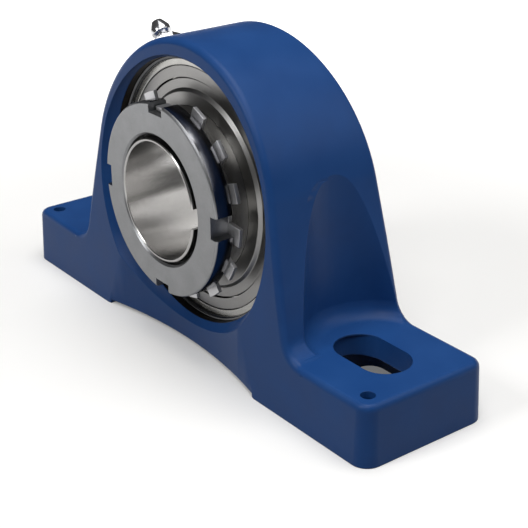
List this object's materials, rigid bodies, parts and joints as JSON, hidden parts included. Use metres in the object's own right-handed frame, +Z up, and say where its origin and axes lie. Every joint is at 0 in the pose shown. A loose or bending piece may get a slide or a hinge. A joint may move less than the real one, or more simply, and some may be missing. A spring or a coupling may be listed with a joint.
{
  "type": "pillow block bearing",
  "caption": "Cast pillow block with slotted feet holding a double-row spherical roller bearing on a tapered adapter sleeve with lock nut.",
  "frame": {"origin": "on the mounting plane, midway between the two bolt slots and under the shaft centre", "axes": "+X along the base, +Y along the shaft away from the lock nut, +Z up"},
  "size_m": [0.175, 0.049, 0.0947],
  "materials": {
    "painted_iron": "satin paint on cast iron",
    "ground_ring_steel": "ground",
    "sintered_iron": "matte",
    "cage_steel": "pressed, satin",
    "pressed_steel": "pressed, satin",
    "spring_wire": "drawn wire",
    "turned_steel": "fine turned",
    "nut_steel": "satin, lightly mottled",
    "plated_steel": "zinc plated",
    "bearing_steel": "polished"
  },
  "bodies": {
    "housing_body": {"housing": "painted_iron", "outer_ring": "ground_ring_steel", "front_cover": "pressed_steel", "rear_cover": "pressed_steel", "front_snap_ring": "spring_wire", "rear_snap_ring": "spring_wire", "grease_nipple": "plated_steel", "nipple_spring": "spring_wire"},
    "guide_body": {"guide_ring": "sintered_iron"},
    "rotor": {"inner_ring": "ground_ring_steel", "adapter_sleeve": "turned_steel", "lock_washer": "pressed_steel", "lock_nut": "nut_steel", "front_flinger": "pressed_steel", "rear_flinger": "pressed_steel"},
    "front_cage_body": {"front_cage": "cage_steel"},
    "rear_cage_body": {"rear_cage": "cage_steel"},
    "nipple_ball_body": {"nipple_ball": "bearing_steel"},
    "front_roller_01_body": {"front_roller_01": "bearing_steel"},
    "front_roller_02_body": {"front_roller_02": "bearing_steel"},
    "front_roller_03_body": {"front_roller_03": "bearing_steel"},
    "front_roller_04_body": {"front_roller_04": "bearing_steel"},
    "front_roller_05_body": {"front_roller_05": "bearing_steel"},
    "front_roller_06_body": {"front_roller_06": "bearing_steel"},
    "front_roller_07_body": {"front_roller_07": "bearing_steel"},
    "front_roller_08_body": {"front_roller_08": "bearing_steel"},
    "front_roller_09_body": {"front_roller_09": "bearing_steel"},
    "front_roller_10_body": {"front_roller_10": "bearing_steel"},
    "front_roller_11_body": {"front_roller_11": "bearing_steel"},
    "front_roller_12_body": {"front_roller_12": "bearing_steel"},
    "front_roller_13_body": {"front_roller_13": "bearing_steel"},
    "front_roller_14_body": {"front_roller_14": "bearing_steel"},
    "front_roller_15_body": {"front_roller_15": "bearing_steel"},
    "front_roller_16_body": {"front_roller_16": "bearing_steel"},
    "rear_roller_01_body": {"rear_roller_01": "bearing_steel"},
    "rear_roller_02_body": {"rear_roller_02": "bearing_steel"},
    "rear_roller_03_body": {"rear_roller_03": "bearing_steel"},
    "rear_roller_04_body": {"rear_roller_04": "bearing_steel"},
    "rear_roller_05_body": {"rear_roller_05": "bearing_steel"},
    "rear_roller_06_body": {"rear_roller_06": "bearing_steel"},
    "rear_roller_07_body": {"rear_roller_07": "bearing_steel"},
    "rear_roller_08_body": {"rear_roller_08": "bearing_steel"},
    "rear_roller_09_body": {"rear_roller_09": "bearing_steel"},
    "rear_roller_10_body": {"rear_roller_10": "bearing_steel"},
    "rear_roller_11_body": {"rear_roller_11": "bearing_steel"},
    "rear_roller_12_body": {"rear_roller_12": "bearing_steel"},
    "rear_roller_13_body": {"rear_roller_13": "bearing_steel"},
    "rear_roller_14_body": {"rear_roller_14": "bearing_steel"},
    "rear_roller_15_body": {"rear_roller_15": "bearing_steel"},
    "rear_roller_16_body": {"rear_roller_16": "bearing_steel"}
  },
  "joints": [
    {"name": "self_align", "type": "hinge", "parent": "housing_body", "child": "guide_body", "pos_m": [0, 0, 0.0492], "axis": [1, 0, 0], "range_deg": [-1, 1]},
    {"name": "shaft_spin", "type": "hinge", "parent": "guide_body", "child": "rotor", "pos_m": [0, 0, 0.0492], "axis": [0, 1, 0], "continuous": true},
    {"name": "front_cage_spin", "type": "hinge", "parent": "guide_body", "child": "front_cage_body", "pos_m": [0, 0, 0.0492], "axis": [0, 1, 0], "continuous": true},
    {"name": "rear_cage_spin", "type": "hinge", "parent": "guide_body", "child": "rear_cage_body", "pos_m": [0, 0, 0.0492], "axis": [0, 1, 0], "continuous": true},
    {"name": "front_roller_01_spin", "type": "hinge", "parent": "front_cage_body", "child": "front_roller_01_body", "pos_m": [0.03061, -0.0054, 0.0492], "axis": [0.1736, 0.9848, 0], "continuous": true},
    {"name": "front_roller_02_spin", "type": "hinge", "parent": "front_cage_body", "child": "front_roller_02_body", "pos_m": [0.02828, -0.0054, 0.06091], "axis": [0.1604, 0.9848, 0.0665], "continuous": true},
    {"name": "front_roller_03_spin", "type": "hinge", "parent": "front_cage_body", "child": "front_roller_03_body", "pos_m": [0.02164, -0.0054, 0.07084], "axis": [0.1228, 0.9848, 0.1228], "continuous": true},
    {"name": "front_roller_04_spin", "type": "hinge", "parent": "front_cage_body", "child": "front_roller_04_body", "pos_m": [0.01171, -0.0054, 0.07748], "axis": [0.0665, 0.9848, 0.1604], "continuous": true},
    {"name": "front_roller_05_spin", "type": "hinge", "parent": "front_cage_body", "child": "front_roller_05_body", "pos_m": [0, -0.0054, 0.07981], "axis": [0, 0.9848, 0.1736], "continuous": true},
    {"name": "front_roller_06_spin", "type": "hinge", "parent": "front_cage_body", "child": "front_roller_06_body", "pos_m": [-0.01171, -0.0054, 0.07748], "axis": [-0.0665, 0.9848, 0.1604], "continuous": true},
    {"name": "front_roller_07_spin", "type": "hinge", "parent": "front_cage_body", "child": "front_roller_07_body", "pos_m": [-0.02164, -0.0054, 0.07084], "axis": [-0.1228, 0.9848, 0.1228], "continuous": true},
    {"name": "front_roller_08_spin", "type": "hinge", "parent": "front_cage_body", "child": "front_roller_08_body", "pos_m": [-0.02828, -0.0054, 0.06091], "axis": [-0.1604, 0.9848, 0.0665], "continuous": true},
    {"name": "front_roller_09_spin", "type": "hinge", "parent": "front_cage_body", "child": "front_roller_09_body", "pos_m": [-0.03061, -0.0054, 0.0492], "axis": [-0.1736, 0.9848, 0], "continuous": true},
    {"name": "front_roller_10_spin", "type": "hinge", "parent": "front_cage_body", "child": "front_roller_10_body", "pos_m": [-0.02828, -0.0054, 0.03749], "axis": [-0.1604, 0.9848, -0.0665], "continuous": true},
    {"name": "front_roller_11_spin", "type": "hinge", "parent": "front_cage_body", "child": "front_roller_11_body", "pos_m": [-0.02164, -0.0054, 0.02756], "axis": [-0.1228, 0.9848, -0.1228], "continuous": true},
    {"name": "front_roller_12_spin", "type": "hinge", "parent": "front_cage_body", "child": "front_roller_12_body", "pos_m": [-0.01171, -0.0054, 0.02092], "axis": [-0.0665, 0.9848, -0.1604], "continuous": true},
    {"name": "front_roller_13_spin", "type": "hinge", "parent": "front_cage_body", "child": "front_roller_13_body", "pos_m": [0, -0.0054, 0.01859], "axis": [0, 0.9848, -0.1736], "continuous": true},
    {"name": "front_roller_14_spin", "type": "hinge", "parent": "front_cage_body", "child": "front_roller_14_body", "pos_m": [0.01171, -0.0054, 0.02092], "axis": [0.0665, 0.9848, -0.1604], "continuous": true},
    {"name": "front_roller_15_spin", "type": "hinge", "parent": "front_cage_body", "child": "front_roller_15_body", "pos_m": [0.02164, -0.0054, 0.02756], "axis": [0.1228, 0.9848, -0.1228], "continuous": true},
    {"name": "front_roller_16_spin", "type": "hinge", "parent": "front_cage_body", "child": "front_roller_16_body", "pos_m": [0.02828, -0.0054, 0.03749], "axis": [0.1604, 0.9848, -0.0665], "continuous": true},
    {"name": "rear_roller_01_spin", "type": "hinge", "parent": "rear_cage_body", "child": "rear_roller_01_body", "pos_m": [0.03002, 0.0054, 0.05517], "axis": [-0.1703, 0.9848, -0.0339], "continuous": true},
    {"name": "rear_roller_02_spin", "type": "hinge", "parent": "rear_cage_body", "child": "rear_roller_02_body", "pos_m": [0.02545, 0.0054, 0.0662], "axis": [-0.1444, 0.9848, -0.0965], "continuous": true},
    {"name": "rear_roller_03_spin", "type": "hinge", "parent": "rear_cage_body", "child": "rear_roller_03_body", "pos_m": [0.017, 0.0054, 0.07465], "axis": [-0.0965, 0.9848, -0.1444], "continuous": true},
    {"name": "rear_roller_04_spin", "type": "hinge", "parent": "rear_cage_body", "child": "rear_roller_04_body", "pos_m": [0.00597, 0.0054, 0.07922], "axis": [-0.0339, 0.9848, -0.1703], "continuous": true},
    {"name": "rear_roller_05_spin", "type": "hinge", "parent": "rear_cage_body", "child": "rear_roller_05_body", "pos_m": [-0.00597, 0.0054, 0.07922], "axis": [0.0339, 0.9848, -0.1703], "continuous": true},
    {"name": "rear_roller_06_spin", "type": "hinge", "parent": "rear_cage_body", "child": "rear_roller_06_body", "pos_m": [-0.017, 0.0054, 0.07465], "axis": [0.0965, 0.9848, -0.1444], "continuous": true},
    {"name": "rear_roller_07_spin", "type": "hinge", "parent": "rear_cage_body", "child": "rear_roller_07_body", "pos_m": [-0.02545, 0.0054, 0.0662], "axis": [0.1444, 0.9848, -0.0965], "continuous": true},
    {"name": "rear_roller_08_spin", "type": "hinge", "parent": "rear_cage_body", "child": "rear_roller_08_body", "pos_m": [-0.03002, 0.0054, 0.05517], "axis": [0.1703, 0.9848, -0.0339], "continuous": true},
    {"name": "rear_roller_09_spin", "type": "hinge", "parent": "rear_cage_body", "child": "rear_roller_09_body", "pos_m": [-0.03002, 0.0054, 0.04323], "axis": [0.1703, 0.9848, 0.0339], "continuous": true},
    {"name": "rear_roller_10_spin", "type": "hinge", "parent": "rear_cage_body", "child": "rear_roller_10_body", "pos_m": [-0.02545, 0.0054, 0.0322], "axis": [0.1444, 0.9848, 0.0965], "continuous": true},
    {"name": "rear_roller_11_spin", "type": "hinge", "parent": "rear_cage_body", "child": "rear_roller_11_body", "pos_m": [-0.017, 0.0054, 0.02375], "axis": [0.0965, 0.9848, 0.1444], "continuous": true},
    {"name": "rear_roller_12_spin", "type": "hinge", "parent": "rear_cage_body", "child": "rear_roller_12_body", "pos_m": [-0.00597, 0.0054, 0.01918], "axis": [0.0339, 0.9848, 0.1703], "continuous": true},
    {"name": "rear_roller_13_spin", "type": "hinge", "parent": "rear_cage_body", "child": "rear_roller_13_body", "pos_m": [0.00597, 0.0054, 0.01918], "axis": [-0.0339, 0.9848, 0.1703], "continuous": true},
    {"name": "rear_roller_14_spin", "type": "hinge", "parent": "rear_cage_body", "child": "rear_roller_14_body", "pos_m": [0.017, 0.0054, 0.02375], "axis": [-0.0965, 0.9848, 0.1444], "continuous": true},
    {"name": "rear_roller_15_spin", "type": "hinge", "parent": "rear_cage_body", "child": "rear_roller_15_body", "pos_m": [0.02545, 0.0054, 0.0322], "axis": [-0.1444, 0.9848, 0.0965], "continuous": true},
    {"name": "rear_roller_16_spin", "type": "hinge", "parent": "rear_cage_body", "child": "rear_roller_16_body", "pos_m": [0.03002, 0.0054, 0.04323], "axis": [-0.1703, 0.9848, 0.0339], "continuous": true},
    {"name": "nipple_ball_slide", "type": "slide", "parent": "housing_body", "child": "nipple_ball_body", "axis": [0.682, 0, -0.7314], "range_m": [0, 0.0008], "stiffness_N_per_m": 200, "springref_m": -0.0005, "deforming": ["nipple_spring"]}
  ],
  "couplings": [
    {"joint": "front_cage_spin", "follows": "shaft_spin", "ratio": 0.42246},
    {"joint": "rear_cage_spin", "follows": "shaft_spin", "ratio": 0.42246},
    {"joint": "front_roller_01_spin", "follows": "shaft_spin", "ratio": -3.1778},
    {"joint": "front_roller_02_spin", "follows": "shaft_spin", "ratio": -3.1778},
    {"joint": "front_roller_03_spin", "follows": "shaft_spin", "ratio": -3.1778},
    {"joint": "front_roller_04_spin", "follows": "shaft_spin", "ratio": -3.1778},
    {"joint": "front_roller_05_spin", "follows": "shaft_spin", "ratio": -3.1778},
    {"joint": "front_roller_06_spin", "follows": "shaft_spin", "ratio": -3.1778},
    {"joint": "front_roller_07_spin", "follows": "shaft_spin", "ratio": -3.1778},
    {"joint": "front_roller_08_spin", "follows": "shaft_spin", "ratio": -3.1778},
    {"joint": "front_roller_09_spin", "follows": "shaft_spin", "ratio": -3.1778},
    {"joint": "front_roller_10_spin", "follows": "shaft_spin", "ratio": -3.1778},
    {"joint": "front_roller_11_spin", "follows": "shaft_spin", "ratio": -3.1778},
    {"joint": "front_roller_12_spin", "follows": "shaft_spin", "ratio": -3.1778},
    {"joint": "front_roller_13_spin", "follows": "shaft_spin", "ratio": -3.1778},
    {"joint": "front_roller_14_spin", "follows": "shaft_spin", "ratio": -3.1778},
    {"joint": "front_roller_15_spin", "follows": "shaft_spin", "ratio": -3.1778},
    {"joint": "front_roller_16_spin", "follows": "shaft_spin", "ratio": -3.1778},
    {"joint": "rear_roller_01_spin", "follows": "shaft_spin", "ratio": -3.1778},
    {"joint": "rear_roller_02_spin", "follows": "shaft_spin", "ratio": -3.1778},
    {"joint": "rear_roller_03_spin", "follows": "shaft_spin", "ratio": -3.1778},
    {"joint": "rear_roller_04_spin", "follows": "shaft_spin", "ratio": -3.1778},
    {"joint": "rear_roller_05_spin", "follows": "shaft_spin", "ratio": -3.1778},
    {"joint": "rear_roller_06_spin", "follows": "shaft_spin", "ratio": -3.1778},
    {"joint": "rear_roller_07_spin", "follows": "shaft_spin", "ratio": -3.1778},
    {"joint": "rear_roller_08_spin", "follows": "shaft_spin", "ratio": -3.1778},
    {"joint": "rear_roller_09_spin", "follows": "shaft_spin", "ratio": -3.1778},
    {"joint": "rear_roller_10_spin", "follows": "shaft_spin", "ratio": -3.1778},
    {"joint": "rear_roller_11_spin", "follows": "shaft_spin", "ratio": -3.1778},
    {"joint": "rear_roller_12_spin", "follows": "shaft_spin", "ratio": -3.1778},
    {"joint": "rear_roller_13_spin", "follows": "shaft_spin", "ratio": -3.1778},
    {"joint": "rear_roller_14_spin", "follows": "shaft_spin", "ratio": -3.1778},
    {"joint": "rear_roller_15_spin", "follows": "shaft_spin", "ratio": -3.1778},
    {"joint": "rear_roller_16_spin", "follows": "shaft_spin", "ratio": -3.1778}
  ]
}
